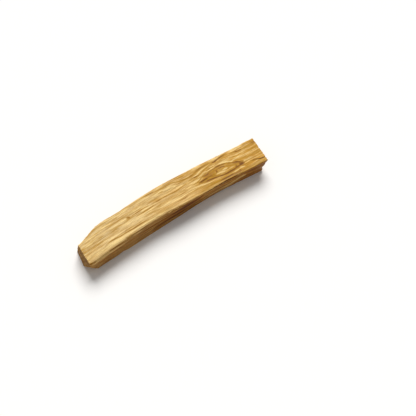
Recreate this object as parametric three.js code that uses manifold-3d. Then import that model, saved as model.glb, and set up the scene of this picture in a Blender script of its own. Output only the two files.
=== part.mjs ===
// A palo santo stick: one piece of heartwood, riven from a log along its grain and sawn off at both ends.
// Millimetres. +X runs along the stick from its narrow end to its wide end, +Y to its back, and +Z up.
// It lies on its sawn underside at z = 0, and the origin is under the middle of its bounding box.

import * as THREE from "three";
import { mergeVertices } from "three/addons/utils/BufferGeometryUtils.js";
import Module from "manifold-3d";

// Driving dimensions.
const WIDTH = 18; // across everything, so the bow and the taper are in it
const THICKNESS = 10.3; // at the thickest place

// The four long arrises at nine even stations, from the narrow end to the wide one.
// Each station is [share of WIDTH across from the middle, share of THICKNESS above the underside].
const ARRISES = {
  topFront: [
    [-0.485, 0.88], [-0.411, 0.915], [-0.348, 0.945], [-0.308, 0.965], [-0.335, 0.96],
    [-0.343, 0.94], [-0.353, 0.93], [-0.405, 0.92], [-0.448, 0.91],
  ],
  topBack: [
    [0.215, 0.92], [0.437, 0.96], [0.465, 0.985], [0.505, 1], [0.507, 0.995],
    [0.491, 0.98], [0.432, 0.97], [0.389, 0.96], [0.382, 0.955],
  ],
  underFront: [
    [-0.43, 0], [-0.4, 0], [-0.378, 0], [-0.347, 0], [-0.322, 0],
    [-0.288, 0], [-0.284, 0], [-0.33, 0], [-0.385, 0],
  ],
  underBack: [
    [0.32, 0], [0.396, 0], [0.42, 0], [0.45, 0], [0.456, 0],
    [0.433, 0], [0.378, 0], [0.322, 0], [0.3, 0],
  ],
};

// Both saw cuts lean and twist a little: where each arris ends, along X.
const NARROW_END = { topFront: -48.4, topBack: -47.9, underFront: -50.7, underBack: -48.4 };
const WIDE_END = { topFront: 51, topBack: 51.9, underFront: 49, underBack: 50.5 };
const CUT_ROUGHNESS = 0.24; // of the two sawn ends
const CUT_CELL = 2.7; // from one unevenness of a cut to the next

// How far each arris is worn round, at the narrow end and at the wide end.
const WEAR = {
  topFront: [1.5, 0.45],
  topBack: [0.9, 0.5],
  underFront: [0.8, 0.5],
  underBack: [0.6, 0.6],
};

// The riven faces are fluted along the grain: how deep over each face, and how long and wide the flutes are.
const FLUTE_DEPTH = { front: 0.75, back: 1, top: 0.36 };
const FLUTES = [
  { length: 27, width: 3.1, share: 0.65 },
  { length: 12, width: 1.3, share: 0.35 },
];
const FACE_REACH = 0.16; // share of the section that a face's relief reaches into

// Slivers have torn away below these lines, which run with the grain. Shares of the length and of the height.
const TORN = [
  { face: "front", from: 0.34, to: 0.66, height: 0.5, rise: 0.05, depth: 0.45 },
  { face: "back", from: 0.1, to: 0.52, height: 0.66, rise: -0.1, depth: 0.7 },
  { face: "back", from: 0.62, to: 1.2, height: 0.4, rise: 0.12, depth: 0.85 },
];
const TORN_EDGE = 0.06; // share of the height over which a torn ledge drops
const TORN_END = 0.05; // share of the length over which it runs out
const TORN_SWAY = 9; // radians that its line sways through along the stick

// The last fibres of the wide end snapped before the saw was through, and stand proud in a lip.
const SNAPPED = { height: 0.13, across: [0.1, 0.4], depth: 0.6 };

// The corner that broke off under the narrow end: three places on the break, from the sawn end to the front.
const BROKEN_CORNER = [
  [-50, -2, 0],
  [-44, -8.1, 0],
  [-49, -9.1, 8.8],
];
const BREAK_ROUGHNESS = 0.3;
const BREAK_CELL = 3.3;

// Bites out of the arrises: how far along, how deep into the unworn arris, how round, and how stretched
// along the grain.
const BITES = [
  { arris: "topFront", along: 0.435, depth: 0.6, radius: 1.8, stretch: 2.2 },
  { arris: "topFront", along: 0.83, depth: 0.5, radius: 1.6, stretch: 2.6 },
  { arris: "topBack", along: 0.985, depth: 0.6, radius: 1.7, stretch: 1.8 },
  { arris: "underFront", along: 0.2, depth: 0.85, radius: 1.7, stretch: 2.4 },
  { arris: "underBack", along: 0.37, depth: 1.1, radius: 1.9, stretch: 2.6 },
  { arris: "underBack", along: 0.86, depth: 1.4, radius: 2.4, stretch: 2.8 },
];

// A drying crack in the top face that opens on the wide end: its path across X and Y from its tip.
const CRACK = {
  path: [[43.4, -4.1], [46.4, -4.5], [48.9, -5.4], [53, -6.1]],
  width: 0.5,
  depth: 2.8,
};

// Faces of the mesh along, across and up the stick.
const ALONG = 68;
const ACROSS = 16;
const UPWARD = 12;
const ARRIS_CLOSENESS = 0.5; // how far the rows crowd towards the arrises, from 0 to 1

const { lerp, smoothstep } = THREE.MathUtils;

// A fixed pseudo-random number from 0 to 1 for each place of a lattice.
function scatter(i, j, seed) {
  const wave = Math.sin(i * 127.1 + j * 311.7 + seed * 74.7) * 43758.5453;
  return wave - Math.floor(wave);
}

// Smooth noise from -0.5 to 0.5 over the lattice.
function ripple(u, v, seed) {
  const [i, j] = [Math.floor(u), Math.floor(v)];
  const [a, b] = [smoothstep(u - i, 0, 1), smoothstep(v - j, 0, 1)];
  const near = lerp(scatter(i, j, seed), scatter(i + 1, j, seed), a);
  const far = lerp(scatter(i, j + 1, seed), scatter(i + 1, j + 1, seed), a);
  return lerp(near, far, b) - 0.5;
}

// The flutes of one face, x millimetres along the stick and v millimetres across that face.
function fluted(face, x, v, seed) {
  const sum = FLUTES.reduce((total, { length, width, share }, order) => {
    return total + share * ripple(x / length, v / width, seed + 10 * order);
  }, 0);
  return FLUTE_DEPTH[face] * sum;
}

// How far a face's torn slivers set it back.
function tornBack(face, s, q) {
  let depth = 0;
  for (const torn of TORN.filter((one) => one.face === face)) {
    const line = torn.height + torn.rise * Math.sin((s - torn.from) * TORN_SWAY);
    const below = smoothstep(line - q, 0, TORN_EDGE);
    const started = smoothstep(s, torn.from, torn.from + TORN_END);
    const ended = smoothstep(s, torn.to - TORN_END, torn.to);
    depth = Math.max(depth, torn.depth * below * started * (1 - ended));
  }
  return depth;
}

// Rows lie closer together towards both arrises of a face.
function crowd(share) {
  return lerp(share, 0.5 - 0.5 * Math.cos(Math.PI * share), ARRIS_CLOSENESS);
}

// A worn arris: the square of wood within the radius of it is squeezed into a quarter of a round.
function worn(fromSide, fromTop, radius) {
  const [a, b] = [radius - fromSide, radius - fromTop];
  if (a <= 0 || b <= 0) return [fromSide, fromTop];
  const squeeze = Math.max(a, b) / Math.hypot(a, b);
  return [radius - a * squeeze, radius - b * squeeze];
}

// A value that is given at the four arrises, at p across and q up the section.
function between(corners, p, q) {
  return lerp(lerp(corners.underFront, corners.topFront, q), lerp(corners.underBack, corners.topBack, q), p);
}

// The same change made to the value of each arris.
function forEachArris(values, change) {
  return Object.fromEntries(Object.entries(values).map(([name, value]) => [name, change(value)]));
}

const arrisCurves = forEachArris(ARRISES, (stations) => {
  return new THREE.SplineCurve(stations.map(([y, z]) => new THREE.Vector2(y * WIDTH, z * THICKNESS)));
});

// The place on the stick of a place on the unit box: s along, p across and q up, each from 0 to 1.
function placed(s, p, q) {
  const corner = forEachArris(arrisCurves, (curve) => curve.getPoint(s));
  const cornerY = forEachArris(corner, (at) => at.x);
  const width = between(cornerY, 1, q) - between(cornerY, 0, q);
  const height = lerp(corner.topFront.y, corner.topBack.y, p);

  // The wear of the arris that this place is nearest to.
  const nearest = (q > 0.5 ? "top" : "under") + (p > 0.5 ? "Back" : "Front");
  const radius = lerp(...WEAR[nearest], s);
  const fromSide = Math.min(p, 1 - p) * width;
  const fromTop = Math.min(q, 1 - q) * height;
  const [across, up] = worn(fromSide, fromTop, radius);
  const pWorn = p > 0.5 ? 1 - across / width : across / width;
  const qWorn = q > 0.5 ? 1 - up / height : up / height;
  const y = between(cornerY, pWorn, qWorn);
  const x = lerp(between(NARROW_END, pWorn, qWorn), between(WIDE_END, pWorn, qWorn), s);
  return relieved(new THREE.Vector3(x, y, height * qWorn), { s, p, q, width, height });
}

// Relief of the riven faces and of the two saw cuts. The sawn underside stays flat.
function relieved(place, { s, p, q, width, height }) {
  const { x, y, z } = place;
  const offTheFloor = smoothstep(q, 0, FACE_REACH);
  const front = (1 - smoothstep(p, 0, FACE_REACH)) * offTheFloor;
  const back = smoothstep(p, 1 - FACE_REACH, 1) * offTheFloor;
  const top = smoothstep(q, 1 - FACE_REACH, 1);
  place.y -= front * (fluted("front", x, q * height, 1) - tornBack("front", s, q));
  place.y += back * (fluted("back", x, q * height, 2) - tornBack("back", s, q));
  place.z += top * fluted("top", x, p * width, 3);

  const snapped = 1 - smoothstep(q, SNAPPED.height * 0.6, SNAPPED.height);
  const lip = SNAPPED.depth * snapped * smoothstep(p, ...SNAPPED.across);
  const rough = CUT_ROUGHNESS * ripple(y / CUT_CELL, z / CUT_CELL, 4);
  if (s === 0) place.x += rough;
  if (s === 1) place.x += rough + lip;
  return place;
}

const breakPoints = BROKEN_CORNER.map((at) => new THREE.Vector3(...at));
const breakPlane = new THREE.Plane().setFromCoplanarPoints(...breakPoints);
if (breakPlane.distanceToPoint(new THREE.Vector3()) > 0) breakPlane.negate();

// Wood beyond the break is pressed back onto it.
function breakCorner(place) {
  const rough = BREAK_ROUGHNESS * ripple(place.y / BREAK_CELL, place.z / BREAK_CELL, 5);
  const beyond = breakPlane.distanceToPoint(place) - rough;
  if (beyond > 0) place.addScaledVector(breakPlane.normal, -beyond);
}

// Wood inside a bite is pressed out of it.
function bite(place, { arris, along, depth, radius, stretch }) {
  const corner = arrisCurves[arris].getPoint(along);
  const outward = (radius - depth) * Math.SQRT1_2;
  const centre = new THREE.Vector3(
    lerp(NARROW_END[arris], WIDE_END[arris], along),
    corner.x + (arris.endsWith("Back") ? outward : -outward),
    corner.y + (arris.startsWith("top") ? outward : -outward),
  );
  const away = place.clone().sub(centre);
  const distance = Math.hypot(away.x / stretch, away.y, away.z);
  if (distance < radius) {
    place.y = centre.y + (away.y * radius) / distance;
    place.z = centre.z + (away.z * radius) / distance;
  }
}

function stickGeometry() {
  const box = new THREE.BoxGeometry(1, 1, 1, ALONG, ACROSS, UPWARD);
  box.deleteAttribute("normal");
  box.deleteAttribute("uv");
  const geometry = mergeVertices(box);
  const position = geometry.attributes.position;
  for (let i = 0; i < position.count; i += 1) {
    const [along, across, upward] = position.array.slice(3 * i, 3 * i + 3).map((at) => at + 0.5);
    const place = placed(along, crowd(across), crowd(upward));
    breakCorner(place);
    BITES.forEach((one) => bite(place, one));
    position.setXYZ(i, place.x, place.y, Math.max(place.z, 0));
  }
  return geometry;
}

// The blade of air that the drying crack leaves: a thin wandering wedge, standing in the top face.
function crackGeometry() {
  const last = CRACK.path.length - 1;
  const edge = (side) => {
    const offset = (order) => (side * CRACK.width * order) / last / 2;
    return new THREE.SplineCurve(CRACK.path.map(([x, y], order) => new THREE.Vector2(x, y + offset(order))));
  };
  const outline = new THREE.Shape([...edge(-1).getPoints(6), ...edge(1).getPoints(6).reverse().slice(0, -1)]);
  const blade = new THREE.ExtrudeGeometry(outline, { depth: CRACK.depth + 2, bevelEnabled: false, steps: 1 });
  return blade.translate(0, 0, ARRISES.topFront.at(-1)[1] * THICKNESS - CRACK.depth);
}

const wasm = await Module();
wasm.setup();

// A closed three.js geometry as a solid that can be cut.
function solid(geometry) {
  const bare = geometry.clone();
  bare.deleteAttribute("normal");
  bare.deleteAttribute("uv");
  const merged = mergeVertices(bare);
  const mesh = new wasm.Mesh({
    numProp: 3,
    vertProperties: new Float32Array(merged.attributes.position.array),
    triVerts: new Uint32Array(merged.index.array),
  });
  return new wasm.Manifold(mesh);
}

function geometryOf(cut) {
  const mesh = cut.getMesh();
  const geometry = new THREE.BufferGeometry();
  geometry.setAttribute("position", new THREE.BufferAttribute(new Float32Array(mesh.vertProperties), 3));
  geometry.setIndex(new THREE.BufferAttribute(new Uint32Array(mesh.triVerts), 1));
  geometry.computeVertexNormals();
  return geometry;
}

const heartwood = new THREE.MeshStandardMaterial({ color: 0xc99a58, roughness: 0.62, metalness: 0 });

const stick = new THREE.Mesh(geometryOf(solid(stickGeometry()).subtract(solid(crackGeometry()))), heartwood);
stick.name = "stick";
stick.geometry.computeBoundingBox();
const { min, max } = stick.geometry.boundingBox;
stick.position.set(-(min.x + max.x) / 2, -(min.y + max.y) / 2, -min.z);

const part = new THREE.Group();
part.name = "palo_santo_stick";
part.add(stick);

export default part;
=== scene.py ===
"""A palo santo stick, riven along its grain and sawn off at both ends, on a pale studio floor.

The file is laid out as an add-on and run as a script. Lengths are in millimetres where a name says so or
where they describe the wood, and in metres where they meet Blender.
"""

import math

import bmesh
import bpy
import numpy as np
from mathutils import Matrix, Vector, noise


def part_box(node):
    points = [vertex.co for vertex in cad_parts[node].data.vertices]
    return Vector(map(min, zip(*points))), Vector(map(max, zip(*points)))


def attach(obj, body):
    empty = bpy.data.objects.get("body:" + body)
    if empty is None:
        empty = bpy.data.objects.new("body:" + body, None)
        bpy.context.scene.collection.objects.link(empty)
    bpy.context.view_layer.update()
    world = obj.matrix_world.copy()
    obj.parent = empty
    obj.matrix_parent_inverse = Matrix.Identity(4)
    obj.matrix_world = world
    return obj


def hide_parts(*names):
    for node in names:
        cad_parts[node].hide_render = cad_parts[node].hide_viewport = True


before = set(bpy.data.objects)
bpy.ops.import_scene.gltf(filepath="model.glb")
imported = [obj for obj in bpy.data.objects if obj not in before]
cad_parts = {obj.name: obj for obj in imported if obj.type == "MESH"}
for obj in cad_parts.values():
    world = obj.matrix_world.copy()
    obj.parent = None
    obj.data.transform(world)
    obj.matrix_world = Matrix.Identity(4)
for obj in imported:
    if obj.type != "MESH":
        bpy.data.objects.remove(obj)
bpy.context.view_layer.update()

bl_info = {
    "name": "Palo santo stick",
    "version": (1, 0, 0),
    "blender": (4, 5, 0),
    "location": "View3D > Sidebar > Palo Santo",
    "description": "Builds a riven stick of golden heartwood over its packed solid, and a studio for it",
    "category": "Add Mesh",
}

MM = 0.001
BODY = "root"
NODE = "stick"

# The form of the stick in millimetres, as its solid has it but for the chip and two of the bites below.
# +X runs from the narrow end to the wide one.
WIDTH = 18
THICKNESS = 10.3

# The four long arrises at nine even stations: [share of WIDTH from the middle, share of THICKNESS].
ARRISES = {
    "top_front": [
        (-0.485, 0.88), (-0.411, 0.915), (-0.348, 0.945), (-0.308, 0.965), (-0.335, 0.96),
        (-0.343, 0.94), (-0.353, 0.93), (-0.405, 0.92), (-0.448, 0.91),
    ],
    "top_back": [
        (0.215, 0.92), (0.437, 0.96), (0.465, 0.985), (0.505, 1), (0.507, 0.995),
        (0.491, 0.98), (0.432, 0.97), (0.389, 0.96), (0.382, 0.955),
    ],
    "under_front": [
        (-0.43, 0), (-0.4, 0), (-0.378, 0), (-0.347, 0), (-0.322, 0),
        (-0.288, 0), (-0.284, 0), (-0.33, 0), (-0.385, 0),
    ],
    "under_back": [
        (0.32, 0), (0.396, 0), (0.42, 0), (0.45, 0), (0.456, 0),
        (0.433, 0), (0.378, 0), (0.322, 0), (0.3, 0),
    ],
}

# Where each arris ends along X: both saw cuts lean and twist a little.
NARROW_END = {"top_front": -48.4, "top_back": -47.9, "under_front": -50.7, "under_back": -48.4}
WIDE_END = {"top_front": 51, "top_back": 51.9, "under_front": 49, "under_back": 50.5}
CUT_ROUGHNESS = 0.24
CUT_CELL = 2.7

# How far each arris is worn round, at the narrow end and at the wide end.
WEAR = {
    "top_front": (1.5, 0.45),
    "top_back": (0.9, 0.5),
    "under_front": (0.8, 0.5),
    "under_back": (0.6, 0.6),
}

# The flutes of the riven faces: their depth, the length, width and share of each order, and how far in from
# an edge a face's relief is full.
FLUTE_DEPTH = {"front": 0.75, "back": 1, "top": 0.36}
FLUTES = [(27, 3.1, 0.65), (12, 1.3, 0.35)]
FACE_REACH = 0.16

# The seeds of the form's noise, how far apart those of two orders of flutes lie, and the factors that turn a
# place and a seed into a fixed pseudo-random number.
SEEDS = {"front": 1, "back": 2, "top": 3, "cut": 4, "break": 5}
ORDER_SEED = 10
SCATTER = (127.1, 311.7, 74.7)
SCATTER_GAIN = 43758.5453

# Torn slivers: face, start, end, height of the line, its sway and how deep.
TORN = [
    ("front", 0.34, 0.66, 0.5, 0.05, 0.45),
    ("back", 0.1, 0.52, 0.66, -0.1, 0.7),
    ("back", 0.62, 1.2, 0.4, 0.12, 0.85),
]
TORN_EDGE = 0.06
TORN_END = 0.05
TORN_SWAY = 9

# The lip of snapped fibres under the wide end: its height and the share of it that is full, where it starts
# across, and how far it stands out.
SNAPPED_HEIGHT = 0.13
SNAPPED_FULL = 0.6
SNAPPED_ACROSS = (0.1, 0.4)
SNAPPED_DEPTH = 0.6

# The chip off the front edge of the wide end, which the solid goes without: where it comes and goes up,
# across and along, and how deep it is.
CHIP_BELOW = (0.05, 0.36)
CHIP_ABOVE = (0.45, 0.95)
CHIP_ACROSS = (0.05, 0.3)
CHIP_ALONG = (0.96, 1)
CHIP_DEPTH = 1.1

# The corner that broke off under the narrow end.
BROKEN_CORNER = [(-50, -2, 0), (-44, -8.1, 0), (-49, -9.1, 8.8)]
BREAK_ROUGHNESS = 0.3
BREAK_CELL = 3.3

# Bites out of the arrises: arris, share along, depth, radius, stretch along the grain. The first two are
# shallower and longer than the solid's.
BITES = [
    ("top_front", 0.435, 0.3, 1.8, 2.8),
    ("top_front", 0.83, 0.3, 1.6, 3),
    ("top_back", 0.985, 0.6, 1.7, 1.8),
    ("under_front", 0.2, 0.85, 1.7, 2.4),
    ("under_back", 0.37, 1.1, 1.9, 2.6),
    ("under_back", 0.86, 1.4, 2.4, 2.8),
]

# The drying crack at the wide end: its way from tip to mouth, the height of the face there, how far above
# the wood the cut begins, and how its foot narrows and leans.
CRACK_PATH = [(44.2, -3.85), (46, -4.3), (47.2, -4.7), (48.4, -5.35), (50.8, -5.7), (54, -6.1)]
CRACK_TOP = 0.91 * THICKNESS
CRACK_HEADROOM = 2
CRACK_FOOT_SHARE = 0.25
CRACK_FOOT_LEAN = -0.35

# Faces of the fine mesh along, across and up the stick, and how closely its rows crowd to the edges.
ALONG, ACROSS, UPWARD = 330, 76, 42
ARRIS_CLOSENESS = 0.35
END_CLOSENESS = 0.25

# The grain follows this share of the stick's bow.
GRAIN_BOW = 0.6

# The eye in the top face, where a swelling of the growth layers is cut across: its outline in X and Y, how
# soon the layers close up again around it, how soon it dies out below, and how densely its rings lie.
EYE_BACK = [
    (15.2, -0.1), (17, 0.6), (19.1, 1.4), (21.1, 1.7), (23.2, 2), (25.2, 2.3), (27.3, 2.45), (29.3, 2.35),
    (30.7, 2.1), (32.2, 1.6), (33.6, 1), (35, 0.3), (36.4, -0.2), (37.9, -0.8), (38.9, -1.4), (39.3, -2.2),
]
EYE_FRONT = [
    (15.2, -0.1), (16.8, -0.7), (19.2, -1.4), (21.6, -1.8), (24.1, -2.2), (26.5, -2.8), (28.9, -3.15),
    (31.4, -3.3), (33.9, -3.4), (36.5, -3.25), (38.8, -2.9), (39.3, -2.2),
]
EYE_REACH = 3.5
EYE_DEPTH = 5
EYE_RINGS = 0.6

# The growth layers lean across the section by this angle, and their pith lies this far off.
LAYER_LEAN = math.radians(38)
PITH_AWAY = 42

# The lines that this piece shows: places along each, half width, and how dark (or light, below 0).
# On the top face the places are X and Y.
TOP_LINES = [
    # The eye's outline from its narrow tip: along its back, along its front, and its dark blunt end.
    ([(18.2, 1.6), (19.6, 1.7), (21, 1.5), (22.9, 1.5)], 0.5, 0.6),
    ([
        (21.9, 1.6), (23.4, 2.1), (24.6, 2.3), (26.1, 2.3),
        (27.7, 2.4), (29.2, 2.3), (30.7, 2), (32.4, 1.7),
    ], 0.38, 0.95),
    ([(27.2, 2.3), (29.2, 2.2), (30.6, 2), (32.7, 1.8)], 0.42, 0.5),
    ([
        (31, 2), (32.6, 1.5), (33.8, 0.9), (35, 0.4),
        (36.5, 0), (37.9, -0.5), (39.1, -1.3), (39.7, -2.4),
    ], 0.4, 0.75),
    ([(15.4, -0.5), (17, -0.3), (18.9, -0.3), (20.9, -0.2)], 0.45, 0.85),
    ([(16.9, -0.4), (18.9, -0.4), (20.9, -0.3), (22.9, -0.3), (24.9, -0.3), (27.4, -0.4)], 0.5, 0.7),
    ([
        (15.8, -0.6), (17.7, -1.2), (19.2, -1.6), (20.6, -1.7), (22.1, -1.9),
        (23.6, -2.1), (25, -2.4), (26.5, -2.7), (28.4, -3.1),
    ], 0.46, 0.95),
    ([(19.1, -1.7), (20.9, -1.7), (22.1, -1.9), (24, -2.2), (26.3, -2.7)], 0.38, 0.6),
    ([
        (26, -2.7), (28.4, -3.2), (30.4, -3.4), (32.4, -3.3),
        (34, -3.4), (36, -3.1), (38.1, -3), (40.2, -2.5),
    ], 0.62, 1.2),
    ([(35.4, -0.2), (37.4, -0.8), (38.5, -1.6), (39.2, -2.6), (38.7, -4)], 0.9, 0.65),
    ([(36, -2.6), (37.6, -2.9), (39.6, -2.8)], 0.9, 0.3),
    ([(30.5, 0.7), (32.5, 0.5), (34, 0.1), (35.5, -0.5), (36.9, -1), (38.1, -1.6)], 0.5, 0.3),
    ([(39.7, -0.6), (40.3, -1.8), (40.1, -2.9), (39.4, -3.9)], 0.7, 0.6),
    ([(38.4, -1.4), (38.6, -2.2), (38.4, -2.9)], 0.6, 0.5),
    # Inside the eye: its fill, its small rings, knot and pale core.
    ([(18.4, 1), (21, 0.9), (23, 0.9), (25, 1), (27.5, 1.3)], 0.85, 0.75),
    ([(26.8, 1), (29.1, 0.9), (31.6, 0.9)], 0.4, 0.5),
    ([(27, 1), (28.5, 1.2), (30, 1.1), (31, 0.6), (31.6, -0.1)], 0.34, 0.6),
    ([(27.5, -0.2), (29.1, -0.3), (31.2, -0.2)], 0.28, 0.45),
    ([(26.5, 1), (26.7, 0.3), (26.1, -0.5)], 0.46, 1.1),
    ([(30.5, 0.7), (32.9, -0.2), (35.3, -1.2)], 0.9, 0.3),
    ([(31.4, -1.4), (32.7, -1.4)], 0.36, 0.6),
    ([(36.1, -1.1), (36.5, -2), (35.6, -2.8)], 0.42, 0.7),
    ([(24.7, -1), (27, -1), (28.7, -1.3), (30.6, -1.8)], 0.55, -0.65),
    ([(29, -0.5), (30.8, -0.7), (32.5, -0.9)], 0.5, -0.9),
    ([(30.6, -2.1), (33.1, -1.9), (36.5, -1.7)], 0.5, -0.5),
    ([(27.4, -1.8), (29.2, -2), (30.7, -1.9), (32.3, -1.8)], 0.4, -0.3),
    # Behind the eye, towards the back arris.
    ([(8.6, 1.7), (11.2, 1.7), (13.4, 1.5), (16.1, 1.3), (17.6, 1.2), (19.8, 0.7)], 0.5, -0.6),
    ([(16.6, 2.4), (17.8, 2.4), (19.3, 2.6), (20.8, 3), (23.4, 3.3)], 0.5, -0.6),
    ([(27.4, 3.8), (30.9, 3.5), (32.9, 3.3), (34.9, 3.1), (38, 2.9)], 0.8, -0.5),
    ([(21.9, 2.7), (24.2, 2.9), (25.7, 2.9), (27.7, 2.8)], 0.34, -0.85),
    ([(22.3, 3.2), (24.8, 3.5), (27.3, 3.4)], 0.3, 0.95),
    ([(23.9, 4.2), (25.9, 4.1), (27.9, 3.8)], 0.34, -0.6),
    ([(29.3, 3.1), (31.8, 2.7), (33.2, 2.2), (34.6, 1.5), (36.5, 0.5)], 0.38, -0.75),
    ([(34.8, 1), (37.1, 1.2), (39.2, 1.2), (42.4, 1)], 0.52, -0.65),
    ([
        (14.8, 3.4), (16.5, 3.3), (18, 3.3), (19.3, 3.6), (20.9, 4),
        (22.4, 4.5), (24.5, 4.9), (26.5, 5.1), (29.1, 5.3),
    ], 0.33, 0.65),
    ([(15.5, 3.3), (17, 3.3), (18.8, 3.4)], 0.32, 0.5),
    ([(14.7, 4), (16.9, 4.1), (18.9, 4.5)], 0.38, -0.35),
    ([(17.9, 4.3), (20.2, 4.9), (22, 5.1), (24, 5.3), (27.1, 5.5)], 0.36, -0.85),
    ([(13.8, 4.9), (16.6, 5.3), (18.6, 5.8), (21.2, 6.1), (24.2, 6.1), (28.4, 6.1)], 0.58, 0.75),
    ([(16.3, 7.6), (19.8, 7.6), (23.3, 7.3)], 0.5, -0.5),
    ([(24.2, 7.1), (27.8, 6.9), (30.8, 6.6), (33.3, 6.8), (35.9, 6.8)], 0.4, -0.8),
    ([(27, 5.5), (28.6, 5.3), (30.3, 5.6)], 0.44, 1.1),
    ([(28.6, 5.4), (31.2, 5.8), (33.2, 6), (36.1, 6.1)], 0.42, 1.2),
    ([(30, 4.4), (32.3, 4.7), (34.6, 5.1)], 0.42, 0.45),
    ([(36.7, 5.4), (39.2, 4.8), (41.4, 4.2)], 0.42, 0.6),
    ([(39.7, 4.5), (41.7, 4.2), (43.9, 4.1)], 0.5, 0.8),
    ([(42.2, 4.1), (45.8, 4.2), (48.9, 4.2), (53.1, 4.2)], 0.46, 0.6),
    ([(43.5, 5.8), (47.1, 5.8), (50.7, 5.6)], 0.5, 0.5),
    ([(49.1, 5.5), (51.1, 4.6), (51.6, 3.1)], 0.8, 0.5),
    # In front of the eye and out to the wide end.
    ([(10.2, -1.5), (12.8, -1.6), (15.8, -1.9), (17.7, -2.3), (20.1, -2.8), (22.5, -3.2)], 0.55, -0.65),
    ([(38.3, -3), (42.7, -2.8), (47.8, -2.5)], 0.32, 0.5),
    ([(38.1, -3.9), (40.6, -4), (43.7, -4)], 0.32, 0.6),
    ([(43, -3.6), (46, -4.3), (48.4, -5.3), (52, -5.9)], 0.45, 1),
    ([(33, -4.3), (35, -4.6), (36.7, -4.6)], 0.42, -0.95),
    ([(36.6, -4.4), (38.1, -4.5), (40.1, -4.8)], 0.4, -0.85),
    ([(36.5, -4.2), (36.6, -5.7)], 0.32, 0.55),
    ([(25.4, -4.9), (28.2, -5.1), (30.2, -5.2), (32.9, -5)], 0.44, 0.95),
    ([(31.1, -5.6), (34.1, -5.7), (37.7, -5.5)], 0.7, 0.45),
    ([(6, -5.2), (18, -5.4), (30, -5.8), (40, -6.2), (51, -6.5)], 1.4, 0.6),
    # The middle.
    ([(-10.4, 7.7), (-8.2, 7.6), (-6.8, 7.5), (-4.6, 7.4)], 0.34, 0.9),
    ([(-6.6, 7.4), (-3.9, 7.1), (-1.5, 6.9), (1.4, 6.9), (4.4, 7), (6.7, 6.1)], 0.75, 0.5),
    ([(5, 6.7), (7.2, 5.9), (8.6, 5.5), (10, 5.3), (11.5, 5), (13.5, 4.9), (16.5, 5)], 0.48, 0.65),
    ([(6.9, 7.5), (8.8, 7.3), (10.3, 7.1), (12.7, 6.9)], 0.36, 0.75),
    ([(-3.8, 5.3), (-1.9, 5.4), (0.1, 5.3)], 0.36, 0.55),
    ([(-3.7, 6), (-1.8, 6), (0, 6)], 0.3, -0.7),
    ([(-0.7, 5.3), (1.8, 5.5), (3.7, 5.6), (6.3, 4.7)], 0.7, -0.55),
    ([(-14.7, 2.6), (-13, 2.7), (-11.8, 2.7), (-10.1, 2.6)], 0.42, 0.75),
    ([(-18.2, 2.3), (-16.3, 2.5), (-13.5, 2.6)], 0.36, 0.5),
    ([(-15, 1.8), (-12.6, 1.8), (-9, 1.8)], 0.36, -0.95),
    ([(-19.2, 1.8), (-16.4, 1.8), (-13.5, 1.7)], 0.4, -0.4),
    ([(-15.3, 0.8), (-12.9, 0.9), (-11.2, 1), (-9.8, 1.1), (-7.4, 1.3)], 0.44, 0.75),
    ([(-18.8, 0.8), (-16.5, 0.9), (-13.6, 0.9)], 0.4, 0.5),
    ([(-9.7, 2.3), (-7.3, 2.3), (-3.9, 2.3), (-2.5, 2.3), (-0.5, 2.3)], 0.38, 0.65),
    ([(-6.8, 2.2), (-5.1, 2.2), (-3.4, 2.3)], 0.42, 0.3),
    ([(-2.5, 2.3), (0.7, 2.2), (3.8, 1.9), (5.8, 2), (7.8, 2.3), (11.2, 2.5)], 0.42, 0.7),
    ([(-11, 3.7), (-8.1, 3.8), (-5.7, 3.8), (-2.8, 3.7)], 0.6, 0.4),
    ([(-22.2, 5.8), (-18.8, 5.9), (-16.5, 6), (-13.1, 6.1)], 0.36, 0.3),
    ([(3.1, 0.4), (6.6, 0.4), (10.5, 0.6)], 0.38, 0.25),
    ([(2.9, 2.7), (5.1, 3), (7.3, 3), (9.8, 3.1), (11, 3.1)], 0.4, -0.7),
    ([(11.8, 3.3), (13.6, 3.3), (15.4, 3.6), (17, 3.4)], 0.5, 0.55),
    # The narrow end.
    ([
        (-34.2, 3.3), (-31.7, 3.3), (-29.8, 3.4), (-27.5, 3.5), (-25.1, 3.7),
        (-23.5, 3.7), (-22.2, 3.2), (-21.5, 2.5), (-20.9, 1.4),
    ], 0.38, 0.62),
    ([(-23.2, 1.6), (-22, 2.2), (-20.6, 2.9)], 0.8, 0.45),
    ([(-22.5, 2.1), (-20.1, 2.2), (-17.7, 2.3), (-14.4, 2.4)], 0.36, 0.6),
    ([(-37.4, -3.8), (-35.4, -3.5), (-33.8, -3.4), (-32.2, -3.5), (-30.3, -3.7), (-28, -3.8)], 0.38, 0.85),
    ([
        (-29.9, -3.8), (-27.1, -3.6), (-24.8, -3.7), (-22.5, -3.8),
        (-20.1, -3.6), (-17.3, -3.5), (-13.6, -3.7),
    ], 0.4, 1),
    ([
        (-41.4, -4.7), (-35.9, -4.5), (-31.3, -4.5),
        (-26.7, -4.5), (-22.1, -4.5), (-15.5, -4.4),
    ], 0.42, -0.8),
    ([(-39.2, 0.7), (-37.1, 0.8), (-35.1, 0.9)], 0.42, 0.45),
    ([(-38.9, 4.7), (-35.2, 5), (-31.5, 5.3)], 0.6, -0.4),
    ([(-34.2, 6.8), (-30.5, 7), (-25.8, 6.8)], 0.5, -0.5),
    ([(-47.7, 2.9), (-43.5, 4.3), (-39.8, 5.4), (-36.1, 6.4)], 0.8, 0.4),
    ([(-50.2, -7.2), (-47.6, -7.9), (-45, -8.1)], 0.4, 0.9),
    # Broad soft differences in tone over the top face.
    ([(-47.7, 1), (-44.6, 1.1), (-40.9, 1.6), (-37.2, 2), (-34, 2.2)], 0.9, 0.3),
    ([(-40.7, 3.6), (-38, 3.7), (-34.8, 3.9)], 0.5, 0.3),
    ([(-35.2, 4.5), (-31.5, 4.5), (-27.8, 4.5)], 0.5, -0.5),
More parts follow.
